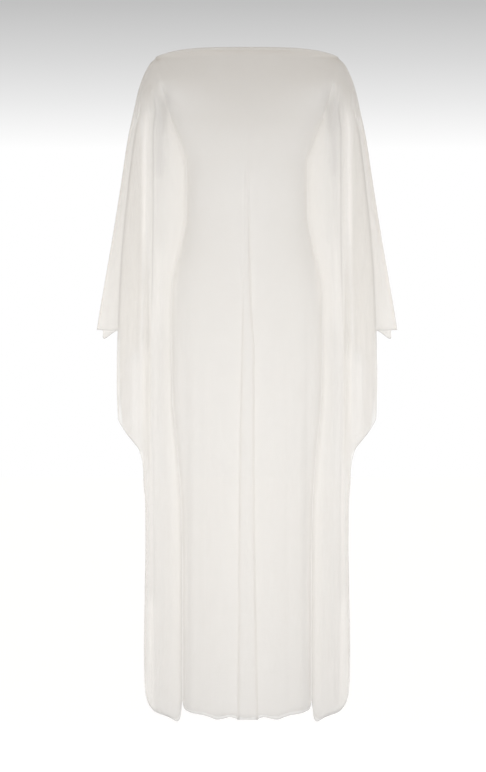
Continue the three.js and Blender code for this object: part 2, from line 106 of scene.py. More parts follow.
# ---- painted shade and light on the cloth, and its doubled layers, as shares: a positive one is darker, a negative one lighter ---
WING_PAINTED_LIGHT = -0.03        # painted light: the loose wings a little lighter than the body
FELL_PAINTED_SHADE_AND_LIGHT = {"side_seam": 0.04, "arm_seam": -0.1}    # painted shade on the felled side seams, painted light on the arm seams
HEM_PAINTED_SHADE = 0.11          # painted shade on the last bit of cloth above a free edge, as wide as HEM_BAND
HEM_BAND = 2.0
SEAM_DOUBLED = 0.1       # part of a second layer beside a seam, as wide as SEAM_BAND
SEAM_BAND = 3.0
HIDDEN_BAND = 3.5        # width of the front hem that hides in the Z fold, doubled and darker by painted shade
HIDDEN_DOUBLED = 0.5
HIDDEN_PAINTED_SHADE = 0.12
HIDDEN_FOOT = (-672, -656)     # it eases in between these heights, and out between the next two
HIDDEN_TOP = (-634, -622)
TIP_START = (SLEEVE_TIP + 6, SLEEVE_TIP - 3)    # the back sleeve's hooked tip lies double below
TIP_REACH = (240, 262)   # and further out than this
# painted shade on the doubled tip
TIP_PAINTED_SHADE = 0.06
MARK_REACH = 3           # a mark reaches over this many lines on each side of its own


def named(columns, rows):
    """A table as one array for each named column."""
    return dict(zip(columns, np.array(rows, float).T))


# ---- tables, in millimetres -------------------------------------------------------------------
# seam: half width at the side seam, and above the underarm at the line that runs on to the neck
# end. front, back: depth from the middle plane.
BODY_TABLE = named(("z", "seam", "front", "back"), [
    (22, 196, 54, 54), (0, 196, 61, 62), (-60, 184, 83, 82), (-115, 169, 99, 94),
    (-179, 144.5, 110, 97), (-233, 130, 112, 93), (-340, 129.5, 103, 84), (-394, 138, 101, 87),
    (-502, 161, 104, 102), (-620, 162, 108, 110), (-739, 159.5, 108, 107),
    (-847, 149, 107, 102), (-998, 140, 107, 98), (-1200, 138, 109, 97), (-1435, 138, 112, 98),
])

# The arm seam's distance from the centre.
ARM_TABLE = named(("z", "reach"), [
    (22, 196), (0, 196), (-15, 209), (-41, 223), (-75, 234.5), (-118, 244), (-179, 257),
    (-265, 270), (-394, 290.5), (-480, 305.5), (-588, 323.5), (-800, 350), (-1435, 420),
])

# Fold lines of the front wing. crease: inner edge of the front pipe, tuck: how far the pipe
# hangs over behind it. edge: lower free edge. outer, inner: the turns of the Z fold. depth: how
# far the wing stands forward of the arm seam, pipe: how far the pipe stands out of the wing.
WING_TABLE = named(("z", "crease", "tuck", "edge", "outer", "inner", "depth", "pipe"), [
    (0, 203, -3, 210, 222, 226, 50, 2), (-60, 203, -2, 210, 225, 231, 50, 6),
    (-100, 203, -1.6, 210, 228, 236, 50, 9), (-132, 203, -1.6, 210.5, 235, 236, 50, 10.5),
    (-157, 203, -1.7, 211.5, 240, 228, 49, 11.5), (-300, 203, -1.8, 213, 258, 225, 47, 13),
    (-437, 204, -1.8, 214.5, 271, 225.5, 46, 13), (-588, 207, -1.6, 215.5, 278, 229, 45, 11),
    (-696, 207, -1.8, 215, 280, 236, 42, 8), (-825, 206, -2.2, 214.3, 275, 240, 39, 6.5),
    (-965, 203, -2.6, 213.5, 262, 240, 36.5, 5), (-1213, 202, -2.8, 216.5, 250, 240, 33, 3.5),
    (-1435, 201, -3, 224, 250, 240, 30, 2),
])

# The back wing's Z fold is narrower and lies further in. side: where the short sleeve layer ends.
BACK_WING_TABLE = named(("z", "edge", "outer", "inner", "side"), [
    (0, 204, 213, 221, 224), (-100, 204, 213, 223, 230), (-157, 204, 214, 226, 238),
    (-300, 206, 216, 225, 254), (-437, 210, 221, 216, 264), (-588, 213, 225, 210, 271),
    (-825, 213.5, 225, 210, 268), (-965, 213.5, 223, 210, 260), (-1213, 216, 224, 211, 253),
    (-1435, 223, 231, 216, 253),
])

# The centre-front pleat. edge: its visible edge, turn: the hidden turn behind it, rise: how far
# its layers have parted. It opens below the bust on one side and at the hip on the other.
PLEAT_COLUMNS = ("z", "edge", "turn", "rise")
PLEAT_RIGHT = named(PLEAT_COLUMNS, [
    (22, 8, 19, 0), (-200, 5, 12, 0.1), (-300, 3.5, 5, 0.8), (-400, 6, 2, 1), (-500, 8.5, 4, 1),
    (-570, 11, 6.5, 1), (-640, 15.5, 10.5, 1), (-825, 15, 10, 1), (-1386, 23, 18, 1),
    (-1435, 24, 19, 1),
])
PLEAT_LEFT = named(PLEAT_COLUMNS, [
    (22, 8, 19, 0), (-400, 8, 16, 0.1), (-500, 8.5, 10, 0.8), (-580, 10, 6.5, 1),
    (-660, 12, 7.5, 1), (-825, 15, 10, 1), (-1386, 20.5, 15.5, 1), (-1435, 21, 16, 1),
])

# Upright lines of a body panel: angle round the half oval, and where the hem ends.
BODY_LINES = [
    (15, -1416), (21, -1419), (28, -1421.5), (35, -1417), (42, -1413.5), (50, -1411.5),
    (57, -1410), (65, -1407.5), (73, -1405), (80, -1400), (86, -1393), (90, -1388),
]

# Upright lines of the wings. share: place between the two seams near the shoulder, top and hem:
# where the line starts and ends, fill: how many steps follow it across the cloth.
FRONT_WING_LINES = [
    ("seam", 0, 0, SEAM_FOOT, 9), ("near", 0.1, -2, -1430, 9), ("middle", 0.22, -7, -1420, 8),
    ("valley", 0.32, -13, -1409, 5), ("crease", 0.38, -17, -1403, 5),
    ("crest", 0.44, -22, -1386, 5), ("edge", 0.5, -27, -1343, 4),
    ("edgeTop", 0.54, -31, -965, 8), ("panelIn", 0.61, -38, -846, 9),
    ("panelOut", 0.69, -47, -810, 6), ("outerFront", 0.735, -55, -784, 4),
    ("outerTurn", 0.76, -60, -777, 4), ("outerBack", 0.785, -65, -768, 9),
    ("middleLayer", 0.82, -72, -653, 9), ("innerBack", 0.85, -79, -636, 4),
    ("innerTurn", 0.87, -84, -634, 4), ("innerFront", 0.89, -89, -632, 11),
    ("sleeveIn", 0.925, -98, -590, 9), ("sleeveOut", 0.955, -106, -589, 8),
    ("arm", 0.98, -112, SLEEVE_TIP, 4), ("armSeam", 1, SEAM_TOP, SLEEVE_TIP, 0),
]
BACK_WING_LINES = [
    ("seam", 0, 0, SEAM_FOOT, 8), ("near", 0.12, -3, -1426, 8), ("middle", 0.25, -9, -1418, 8),
    ("valley", 0.36, -17, -1402, 6), ("edge", 0.43, -24, -1346, 4),
    ("edgeTop", 0.47, -28, -968, 4), ("outerTurn", 0.51, -33, -920, 4),
    ("outerBack", 0.55, -38, -906, 6), ("innerBack", 0.6, -45, -888, 4),
    ("innerTurn", 0.65, -53, -876, 4), ("innerFront", 0.7, -61, -866, 10),
    ("sleeveIn", 0.78, -72, -845, 9), ("side", 0.86, -84, -790, 4),
    ("sideTop", 0.9, -93, -590, 8), ("sleeveOut", 0.95, -103, -607, 4),
    ("arm", 0.965, -106, -589, 8), ("armSeam", 1, SEAM_TOP, SLEEVE_TIP, 0),
]

# Soft folds. top_x, foot_x: where the fold starts and ends, seen from the
# front. top, foot: its heights. wide: half its width. deep: how far it stands out.
FOLD_COLUMNS = ("top_x", "foot_x", "top", "foot", "wide", "deep")
FRONT_WING_FOLDS = named(FOLD_COLUMNS, [
    (213, 216, -60, -520, 6.5, 5.5), (193, 196, -90, -640, 6, -2.4),
    (232, 243, -90, -560, 9, -2.0), (168, 184, -85, -280, 6, -3.5),
    (222, 226, -330, -800, 6, 2.6), (238, 251, -420, -800, 6, 2.4),
    (186, 190, -300, -1410, 9, 2.4), (172, 168, -620, -1425, 6, -1.6),
    (206, 192, -900, -1415, 8, -2.2), (250, 300, -120, -590, 7, 2.6),
    (266, 284, -330, -600, 6, -1.8), (181, 190, -1180, -1425, 6, 2.6),
])
BACK_WING_FOLDS = named(FOLD_COLUMNS, [
    (206, 226, -50, -880, 7, 2.0), (218, 244, -70, -820, 6, -1.9), (229, 262, -110, -780, 6, 1.8),
    (182, 186, -300, -1410, 10, 2.2), (172, 166, -520, -1425, 7, -1.8),
    (198, 178, -760, -1420, 7, 1.7), (238, 296, -90, -600, 8, 2.0),
    (246, 276, -170, -610, 6, -1.4),
])
FRONT_BODY_FOLDS = named(FOLD_COLUMNS, [
    (52, 60, -560, -1425, 11, 1.8), (-50, -58, -640, -1425, 12, 1.7),
    (84, 92, -470, -1425, 10, -1.8), (-86, -90, -520, -1425, 9, -1.9),
    (112, 116, -620, -1415, 8, 1.9), (-112, -118, -560, -1415, 8, 1.7),
    (132, 128, -400, -1400, 6, -1.8), (-131, -128, -430, -1400, 6, -1.6),
    (34, 36, -700, -1425, 9, -1.3), (-33, -36, -820, -1425, 9, -1.3),
])
BACK_BODY_FOLDS = named(FOLD_COLUMNS, [
    (0, 6, -470, -1425, 14, 2.2), (-30, -34, -560, -1425, 11, -2.0),
    (36, 40, -620, -1425, 12, -1.9), (68, 74, -520, -1425, 12, 2.1),
    (-66, -72, -480, -1425, 11, 2.0), (98, 100, -650, -1415, 9, -1.8),
    (-96, -102, -600, -1415, 9, -2.0), (122, 120, -450, -1400, 7, 1.7),
    (-122, -121, -500, -1400, 7, 1.6),
])

# Marks of painted shade, darker in a pressed fold, and of painted highlight, lighter along a
# full ridge. line: the upright line that the mark follows. beside: how far past it. wide: half
# its width. top, foot: its heights. dark: how much darker.
FRONT_WING_SHADE_AND_HIGHLIGHT = [
    ("outerFront", -0.5, 3, -110, -640, 0.11), ("outerTurn", 2, 3, -110, -640, 0.07),
    ("valley", 1, 2.4, -80, -540, 0.17), ("edge", 7, 6, -100, -400, -0.14),
    ("edge", 7, 5, -360, -800, -0.05),
    ("seam", 0, 7, -160, -520, -0.03), ("edge", 5, 7, -600, -900, -0.05),
    ("edge", 7.5, 2.5, -440, -640, 0.05), ("edge", -4.5, 2.5, -440, -640, 0.07),
    ("edge", 1.5, 6, -440, -620, 0.02), ("middle", 0, 14, -520, -1100, 0.03),
    ("valley", -1, 3, -560, -1425, 0.04), ("crest", -6, 12, -1150, -1425, -0.08),
    ("edge", 0, 2.5, -900, -1343, 0.03), ("panelIn", 0, 5, -300, -640, 0.03),
    ("panelIn", 6, 11, -646, -830, -0.05), ("middleLayer", 0, 1.8, -560, -660, 0.1),
]
BACK_WING_SHADE_AND_HIGHLIGHT = [
    ("outerTurn", 0, 4, -110, -900, 0.12), ("valley", 0, 3, -150, -1420, 0.08),
    ("edge", -2, 4, -90, -800, -0.06), ("edge", 9, 6, -120, -370, -0.1),
    ("sleeveIn", 0, 5, -150, -700, 0.05),
]

# Wide soft painted shades with the columns of the folds, where deep is how much darker, lighter
# where negative. They give painted shade, a dim band beside the armpit, and painted light, a paler
# line along the waist and hip.
FRONT_WING_SHADES = named(FOLD_COLUMNS, [
    (187, 189, -60, -250, 14, 0.09), (188, 190, -60, -400, 14, 0.05),
    (174, 178, -92, -165, 6, 0.07),
])
FRONT_BODY_SHADES = named(FOLD_COLUMNS, [
    (hand * top_x, hand * foot_x, *rest)
    for top_x, foot_x, *rest in ((172, 176, -50, -230, 13, 0.1), (126, 156, -180, -520, 7, -0.05),
                                 (152, 130, -420, -1250, 8, -0.04))
    for hand in (1, -1)
])


SIDES = ("front", "back")
FACES = dict(zip(SIDES, (-1, 1)))     # the sign of Y on each side of the middle plane
WING_LINES = dict(zip(SIDES, (FRONT_WING_LINES, BACK_WING_LINES)))
WING_FOLDS = dict(zip(SIDES, (FRONT_WING_FOLDS, BACK_WING_FOLDS)))
BODY_FOLDS = dict(zip(SIDES, (FRONT_BODY_FOLDS, BACK_BODY_FOLDS)))
WING_SHADE_AND_HIGHLIGHT = dict(zip(SIDES, (FRONT_WING_SHADE_AND_HIGHLIGHT, BACK_WING_SHADE_AND_HIGHLIGHT)))


# ---- curves through the tables --------------------------------------------------------------
def column(table, name):
    """A smooth line through one column, level with height, that never overshoots a row.

    Between two rows it is a cubic. Its slope at a row is the harmonic mean of the straight
    slopes on both sides, or level where they differ in sign.
    """
    order = np.argsort(table["z"])
    z, v = table["z"][order], table[name][order]
    slope = np.diff(v) / np.diff(z)
    before = np.concatenate([slope[:1], slope])
    after = np.concatenate([slope, slope[-1:]])
    same = before * after > 0
    tangent = np.where(same, 2 * before * after / np.where(same, before + after, 1), 0)

    def at(height):
        h = np.clip(height, z[0], z[-1])
        i = np.clip(np.searchsorted(z, h, side="right") - 1, 0, len(z) - 2)
        span = z[i + 1] - z[i]
        t = (h - z[i]) / span
        rest = 1 - t
        return (v[i] * (1 + 2 * t) * rest**2 + v[i + 1] * t**2 * (3 - 2 * t)
                + span * t * rest * (tangent[i] * rest - tangent[i + 1] * t))
    return at


def columns(table):
    return {name: column(table, name) for name in table if name != "z"}


body = columns(BODY_TABLE)
arm = columns(ARM_TABLE)
wing = columns(WING_TABLE)
back_wing = columns(BACK_WING_TABLE)


def mix(a, b, t):
    return a + (b - a) * t


def ease(start, end, value):
    """0 before start, 1 past end, and a smooth rise between them."""
    t = np.clip((value - start) / (end - start), 0, 1)
    return t * t * (3 - 2 * t)


def oval(x, half, depth, fullness):
    """A half oval of the given half width and depth; fullness 2 is an ellipse."""
    share = np.clip(np.abs(x) / half, 0, 1)
    return depth * (1 - share**fullness) ** (1 / fullness)


# ---- the worn shape ---------------------------------------------------------------------------
def held(z):
    """0 above the armpit, where one smooth sheet runs from chest to arm, and 1 below it."""
    return ease(SHOULDER_FREE, UNDERARM, z)


def shoulder_depth(x, z, side):
    return oval(x, arm["reach"](z), body[side](z), mix(*SHOULDER_ROUND, ease(0, -100, z)))


def body_depth(x, z, side):
    tube = oval(x, body["seam"](z), body[side](z), BODY_ROUND)
    return mix(shoulder_depth(x, z, side), tube, held(z))


def neck_height(x):
    return NECK_RISE * (1 - (abs(x) / NECK_HALF) ** 4)


def turned(start, end):
    """How far the first line past a turn stands from it, on its way to the next turn."""
    return TURN * np.clip((end - start) / TURN_OVER, -1, 1)


def wing_seam(z):
    return body["seam"](z) + SEAM_HALF_GAP + held(z) * WING_CLEAR


def wing_ends(z, fold, depth):
    """What both wings share: from the side seam to the first fold line, and the arm seam.

    Each line of a wing is a distance from the centre and a depth from the middle plane.
    """
    seam = wing_seam(z)
    return {
        "seam": (seam, EDGE_GAP + SEAM_HALF_GAP + 0 * z),
        "near": (mix(seam, fold, 0.14), depth * 0.56),
        "middle": (mix(seam, fold, 0.5), depth * 0.93),
        "armSeam": (arm["reach"](z), EDGE_GAP + 0 * z),
    }


def z_fold(outer, inner, at_outer, at_inner):
    """The two turns of a wing's Z fold, and the line behind each that goes on to the next."""
    return {
        "outerTurn": (outer, at_outer - FOLD_STEP),
        "outerBack": (outer + turned(outer, inner), at_outer - 2 * FOLD_STEP + FOLD_TILT),
        "innerBack": (inner - turned(outer, inner), at_inner - 2 * FOLD_STEP - FOLD_TILT),
        "innerTurn": (inner, at_inner - 3 * FOLD_STEP),
        "innerFront": (inner + TURN, at_inner - 4 * FOLD_STEP),
    }


def front_wing_places(z):
    """Where each line of the front wing lies at a height."""
    w = {name: at(z) for name, at in wing.items()}
    crease, edge, outer, inner = (w[name] for name in ("crease", "edge", "outer", "inner"))
    depth, reach = w["depth"], arm["reach"](z)
    front = depth + w["pipe"]
    at_outer = front - OUTER_BACK - ROLL * (outer - edge)
    at_inner = front - INNER_BACK
    middle = mix(at_outer, at_inner, FOLD_MIDDLE)
    return {
        **wing_ends(z, crease, depth),
        **z_fold(outer, inner, at_outer, at_inner),
        "valley": (crease + w["tuck"], depth),
        "crease": (crease - w["tuck"], mix(depth, front, 0.7)),
        "crest": (mix(crease, edge, 0.62), front),
        "edge": (edge, front),
        "edgeTop": (edge + EDGE_STRIP, front),
        "panelIn": (mix(edge, outer, 0.3), mix(front, at_outer, 0.06)),
        "panelOut": (mix(edge, outer, 0.74), mix(front, at_outer, 0.42)),
        "outerFront": (outer - TURN, at_outer),
        "middleLayer": (mix(outer, inner, FOLD_MIDDLE), middle - 2 * FOLD_STEP),
        "sleeveIn": (mix(inner, reach, 0.38), depth * 0.34),
        "sleeveOut": (mix(inner, reach, 0.68), depth * 0.12),
        "arm": (reach - 5, depth * 0.03),
    }


def back_wing_places(z):
    """The same for the back wing, whose fold is narrower."""
    edge, outer, inner, side = (back_wing[name](z) for name in ("edge", "outer", "inner", "side"))
    reach = arm["reach"](z)
    depth = wing["depth"](z) - 2
    back = depth + wing["pipe"](z) / 2
    return {
        **wing_ends(z, edge, depth),
        **z_fold(outer, inner, back, back),
        "valley": (mix(wing_seam(z), edge, 0.83), back - 1),
        "edge": (edge, back),
        "edgeTop": (mix(edge, outer, 0.55), back - FOLD_TILT),
        "sleeveIn": (mix(inner, side, 0.4), depth * 0.72),
        "side": (side, depth * 0.5),
        "sideTop": (side + EDGE_STRIP, depth * 0.42),
        "sleeveOut": (mix(side, reach, 0.7), depth * 0.14),
        "arm": (mix(side, reach, 0.76), depth * 0.1),
    }


def wing_lines(side, rows):
    """The wing's upright lines as points: smooth over the shoulder, folded below it.

    Near the shoulder the lines that have already left the arm seam share the width between the
    two seams. Each line then eases to its own folded place.
    """
    lines = WING_LINES[side]
    places = front_wing_places if side == "front" else back_wing_places
    share_at = column({"z": np.array([line[2] for line in lines], float),
                       "share": np.array([line[1] for line in lines], float)}, "share")
    out = []
    for name, share, top, hem, _ in lines:
        z = mix(top, hem, rows)
        left = np.minimum(share / np.maximum(share_at(z), 1e-6), 1)
        smooth_x = mix(body["seam"](z) + SEAM_HALF_GAP, arm["reach"](z), left)
        fold_x, fold_depth = places(z)[name]
        settled = top - SETTLE
        x = mix(smooth_x, fold_x, ease(min(FOLDS_START, top), min(FOLDS_FULL, settled), z))
        drop = ease(min(SHOULDER_FREE, top), min(UNDERARM, settled), z)
        smooth_depth = np.maximum(shoulder_depth(x, z, side), EDGE_GAP)
        out.append(np.stack([x, FACES[side] * mix(smooth_depth, fold_depth, drop), z], axis=-1))
    return np.array(out), [line[4] for line in lines[:-1]]


# place: where a line of the pleat lies. layer: how many layers it stands forward of the panel.
PLEAT_LINES = [
    (lambda edge, turn: turn + TURN, 0), (lambda edge, turn: turn, 0.45),
    (lambda edge, turn: turn + turned(turn, edge), 0.8),
    (lambda edge, turn: edge - turned(turn, edge), 1.2),
    (lambda edge, turn: edge, 1.55), (lambda edge, turn: edge - TURN, 2),
]
PLEAT_FILL = 4
BODY_FILL = 5


def pleat_lines(table, hand, rows):
    """One side of the pleat, from the panel in to the top layer."""
    z = mix(NECK_RISE, PLEAT_HEM, rows)
    at = columns(table)
    edge, turn, rise = at["edge"](z), at["turn"](z), at["rise"](z)
    out = []
    for place, layer in PLEAT_LINES:
        x = hand * place(edge, turn)
        forward = body_depth(x, z, "front") + layer * PLEAT_STEP * rise
        out.append(np.stack([x, -forward, z], axis=-1))
    return out


def body_lines(side, hand, rows):
    """Upright lines of one half of a body panel, from beside the pleat to the side seam."""
    out = []
    for turn, hem in BODY_LINES:
        lean = math.sin(math.radians(turn))
        drop = BACK_DROP * (1 - lean) if side == "back" else 0
        z = mix(neck_height(NECK_HALF * lean), hem - drop, rows)
        x = (body["seam"](z) - SEAM_HALF_GAP) * lean
        depth = np.maximum(body_depth(x, z, side), EDGE_GAP)
        out.append(np.stack([hand * x, FACES[side] * depth, z], axis=-1))
    return out


def front_body_lines(rows):
    left = [*pleat_lines(PLEAT_LEFT, -1, rows)[::-1], *body_lines("front", -1, rows)]
    right = [*pleat_lines(PLEAT_RIGHT, 1, rows)[::-1], *body_lines("front", 1, rows)]
    sides = [BODY_FILL] * (len(BODY_LINES) - 1)
    pleat = [PLEAT_FILL] * (len(PLEAT_LINES) - 1)
    fill = [*sides, PLEAT_FILL, *pleat, 8, *pleat, PLEAT_FILL, *sides]
    return np.array([*left[::-1], *right]), fill


def back_body_lines(rows):
    z = mix(NECK_RISE, PLEAT_HEM - BACK_DROP, rows)
    middle = [np.stack([0 * z, body_depth(0 * z, z, "back"), z], axis=-1)]
    right = body_lines("back", 1, rows)[::-1]
    left = body_lines("back", -1, rows)
    sides = [BODY_FILL] * (len(BODY_LINES) - 1)
    return np.array([*right, *middle, *left]), [*sides, 8, 8, *sides]


# ---- surfaces ---------------------------------------------------------------------------------
def shares(count):
    """Places down a panel from 0 to 1: a straight rise plus a square, so closest at the top."""
    t = np.linspace(0, 1, count)
    return 0.4 * t + 0.6 * t * t


def loft(lines, fill):
    """Cloth across upright lines: each row is a smooth curve through its point on every line.

    Between two lines the curve is a cubic. Its slope at a line comes from the neighbours on both
    sides, each weighted by the square root of its distance, so that it stays round at a tight
    turn and straight on a long stretch. Returns points[across, down, 3].
    """
    step = np.diff(lines, axis=0)
    t = np.sqrt(np.maximum(np.linalg.norm(step, axis=2, keepdims=True), 1e-6))
    slope = step / t
    inner = slope[:-1] + slope[1:] - (lines[2:] - lines[:-2]) / (t[:-1] + t[1:])
    tangent = np.concatenate([slope[:1], inner, slope[-1:]])
    parts = []
    for k, count in enumerate(fill):
        s = np.linspace(0, 1, count, endpoint=False).reshape(-1, 1, 1)
        rest = 1 - s
        parts.append(lines[k] * (1 + 2 * s) * rest**2 + lines[k + 1] * s**2 * (3 - 2 * s)
                     + t[k] * s * rest * (tangent[k] * rest - tangent[k + 1] * s))
    parts.append(lines[-1:])
    return np.concatenate(parts)


def soft_folds(x, z, table, scale):
    """Depth of soft troughs and ridges: each is a bell across x, eased in and out in height."""
    total = np.zeros_like(x)
    for k in range(len(table["top"])):
        fold = {name: values[k] for name, values in table.items()}
        along = (z - fold["top"]) / (fold["foot"] - fold["top"])
        middle = mix(fold["top_x"], fold["foot_x"], np.clip(along, 0, 1))
        bell = np.exp(-((x - middle) / fold["wide"]) ** 2)
        total += fold["deep"] * bell * ease(0, 0.25, along) * (1 - ease(0.9, 1.15, along))
    return scale * total


def ripple(x, z, wave, length, scale):
    """A slight unevenness of the cloth: two slow waves that never repeat together."""
    first = np.sin(x / wave + 1.7 * np.sin(z / length))
    second = np.sin(x / (wave * 0.61) - z / (length * 0.73) + 2.0)
    return scale * (0.6 * first + 0.4 * second)


def unit(vectors):
    return vectors / np.maximum(np.linalg.norm(vectors, axis=-1, keepdims=True), 1e-9)


def outward(points):
    """The level direction out of a sheet: its own direction across, turned by a right angle."""
    across = np.gradient(points, axis=0)
    return unit(np.stack([across[..., 1], -across[..., 0], 0 * across[..., 0]], axis=-1))


def painted_shade_and_highlight(points, side):
    """How much painted shade darkens the wing at each point; painted light where it is negative.

    Each mark is a bell of the level distance from its line, counted from a place beside the
    line, and eased in and out in height. It reaches over the next few lines only.
    """
    lines, marks = WING_LINES[side], WING_SHADE_AND_HIGHLIGHT[side]
    starts = np.cumsum([0] + [line[4] for line in lines[:-1]])
    names = [line[0] for line in lines]
    order = np.arange(len(points))[:, None]
    x, y, z = np.moveaxis(points, -1, 0)
    # Painted light on the wings below the shoulder.
    tone = WING_PAINTED_LIGHT * (ease(*BELOW_SHOULDER, z) - ease(*WING_FOOT, z))
    if side == "front":
        # Painted shade beside the armpit.
        tone += soft_folds(x, z, FRONT_WING_SHADES, 1)
    for name, beside, wide, top, foot, dark in marks:
        k = names.index(name)
        line = points[starts[k], ::-1]
        away = np.hypot(x - np.interp(z, line[:, 2], line[:, 0]),
                        y - np.interp(z, line[:, 2], line[:, 1]))
        near = ((order >= starts[max(k - MARK_REACH, 0)])
                & (order <= starts[min(k + MARK_REACH, len(lines) - 1)]))
        bell = near * np.exp(-((np.sign(order - starts[k]) * away - beside) / wide) ** 2)
        along = (z - top) / (foot - top)
        tone += dark * bell * ease(0, 0.15, along) * (1 - ease(0.85, 1.1, along))
    return tone


def body_surface(side, rows, fold_scale):
    """A body panel: its lofted form, moved out and in by soft folds that start at the waist."""
    lines, fill = (front_body_lines if side == "front" else back_body_lines)(rows)
    points = loft(lines, fill)
    x, z = points[..., 0], points[..., 2]
    sides_held = 1 - ease(0.9, 1, np.abs(x) / body["seam"](z))
    move = soft_folds(x, z, BODY_FOLDS[side], fold_scale)
    move += ripple(x, z, *RIPPLE["body"]) * ease(*BODY_LOW, z)
    return points + outward(points) * (move * sides_held)[..., None]


def wing_surface(side, rows, fold_scale):
    """A wing panel: its lofted form, with soft folds that push all its layers the same way."""
    lines, fill = wing_lines(side, rows)
    points = loft(lines, fill)
    x, z = points[..., 0], points[..., 2]
    off_seam = ease(0, OFF_SEAM, x - wing_seam(z)) * ease(0, OFF_SEAM, arm["reach"](z) - x)
    move = soft_folds(x, z, WING_FOLDS[side], fold_scale)
    move += ripple(x, z, *RIPPLE["wing"]) * ease(*BELOW_SHOULDER, z)
    points[..., 1] += FACES[side] * move * off_seam
    return points


def mirrored(points):
    """The same sheet on the other side of the middle plane, still facing out of the garment."""
    return (points * np.array([-1.0, 1.0, 1.0]))[::-1]


def arc(points, axis):
    """Distance along the sheet from its first line, across or down."""
    step = np.linalg.norm(np.diff(points, axis=axis), axis=2)
    start = np.zeros_like(np.take(step, [0], axis=axis))
    return np.concatenate([start, np.cumsum(step, axis=axis)], axis=axis)


def normals(points):
    """The direction out of the sheet: down crossed with across."""
    return unit(np.cross(np.gradient(points, axis=1), np.gradient(points, axis=0)))


# ---- meshes -----------------------------------------------------------------------------------
def grid_faces(count, steps, closed=False):
    """Quads of a grid stored line by line, so that down crossed with across faces out."""
    lines = np.arange(count if closed else count - 1)[:, None]
    steps_at = np.arange(steps - 1)[None, :]
    a = lines * steps + steps_at
    b = (lines + 1) % count * steps + steps_at
    return np.stack([a, a + 1, b + 1, b], axis=-1).reshape(-1, 4)


def smooth_mesh(name, vertices, faces):
    """A smooth mesh in metres from points in millimetres."""
    mesh = bpy.data.meshes.new(name)
    mesh.from_pydata((vertices * MM).tolist(), [], faces)
    mesh.polygons.foreach_set("use_smooth", np.ones(len(mesh.polygons), bool))
    return mesh


def in_scene(name, content):
    """A mesh, light or camera as an object in the scene."""
    thing = bpy.data.objects.new(name, content)
    bpy.context.scene.collection.objects.link(thing)
    return thing


def closed_mesh(name, vertices, faces):
    """A smooth closed piece from points in millimetres, its faces turned to point outwards."""
    mesh = smooth_mesh(name, vertices, faces)
    shape = bmesh.new()
    shape.from_mesh(mesh)
    bmesh.ops.recalc_face_normals(shape, faces=shape.faces)
    shape.to_mesh(mesh)
    shape.free()
    mesh.update()
    return in_scene(name, mesh)


def sheet_mesh(name, points, thickness, marks=None, turned_net=False):
    """A thin shell of cloth: the sheet's points, with a wall of the given thickness.

    marks: "doubled", how many layers more than one lie at a point, and "crease", how much painted
    shade darkens it, or painted light lightens it where negative. The UV map is the distance along
    the cloth in metres. The net runs down the sheet, or across it where turned_net says so, as on
    the back panels, so that the two nets never fall in step with each other.
    """
    count, steps = points.shape[:2]
    down, across = arc(points, 1), arc(points, 0)
    centred = across - across[count // 2]
    uv = np.stack([-down, centred] if turned_net else [centred, -down], axis=-1).reshape(-1, 2)
    mesh = smooth_mesh(name, points.reshape(-1, 3), grid_faces(count, steps).tolist())
    corner = np.zeros(len(mesh.loops), np.int32)
    mesh.loops.foreach_get("vertex_index", corner)
    layer = mesh.uv_layers.new(name="cloth")
    layer.data.foreach_set("uv", (uv[corner] * MM).ravel().astype(np.float32))
    plain = np.zeros((count, steps))
    for label, values in {"doubled": plain, "crease": plain, **(marks or {})}.items():
        attribute = mesh.attributes.new(label, "FLOAT", "POINT")
        attribute.data.foreach_set("value", values.ravel().astype(np.float32))
    mesh.validate()
    mesh.update()
    piece = in_scene(name, mesh)
    wall = piece.modifiers.new("wall", "SOLIDIFY")
    wall.thickness = thickness
    wall.offset = 0
    wall.use_even_offset = False
    return piece


def bead_mesh(name, path, side, out, radius, sides=6):
    """A rolled edge: a small circle carried along a path.

    side and out are two directions square to the path, at each of its points. The circle's
    point at an angle is the path plus cosine times side plus sine times out.
    """
    angle = np.linspace(0, 2 * math.pi, sides, endpoint=False).reshape(-1, 1, 1)
    ring = path + radius * (np.cos(angle) * side + np.sin(angle) * out)
    count, steps = ring.shape[:2]
    caps = [np.arange(count)[::-1] * steps, np.arange(count) * steps + steps - 1]
    faces = grid_faces(count, steps, closed=True).tolist() + [cap.tolist() for cap in caps]
    return closed_mesh(name, ring.reshape(-1, 3), faces)


def edge_bead(name, points, radius):
    """The rolled hem of a sheet: a bead along its last row, centred on the edge."""
    path = points[:, -1]
    along = unit(np.gradient(path, axis=0))
    out = normals(points)[:, -1]
    out = unit(out - along * np.sum(out * along, axis=-1, keepdims=True))
    return bead_mesh(name, path, np.cross(along, out), out, radius)


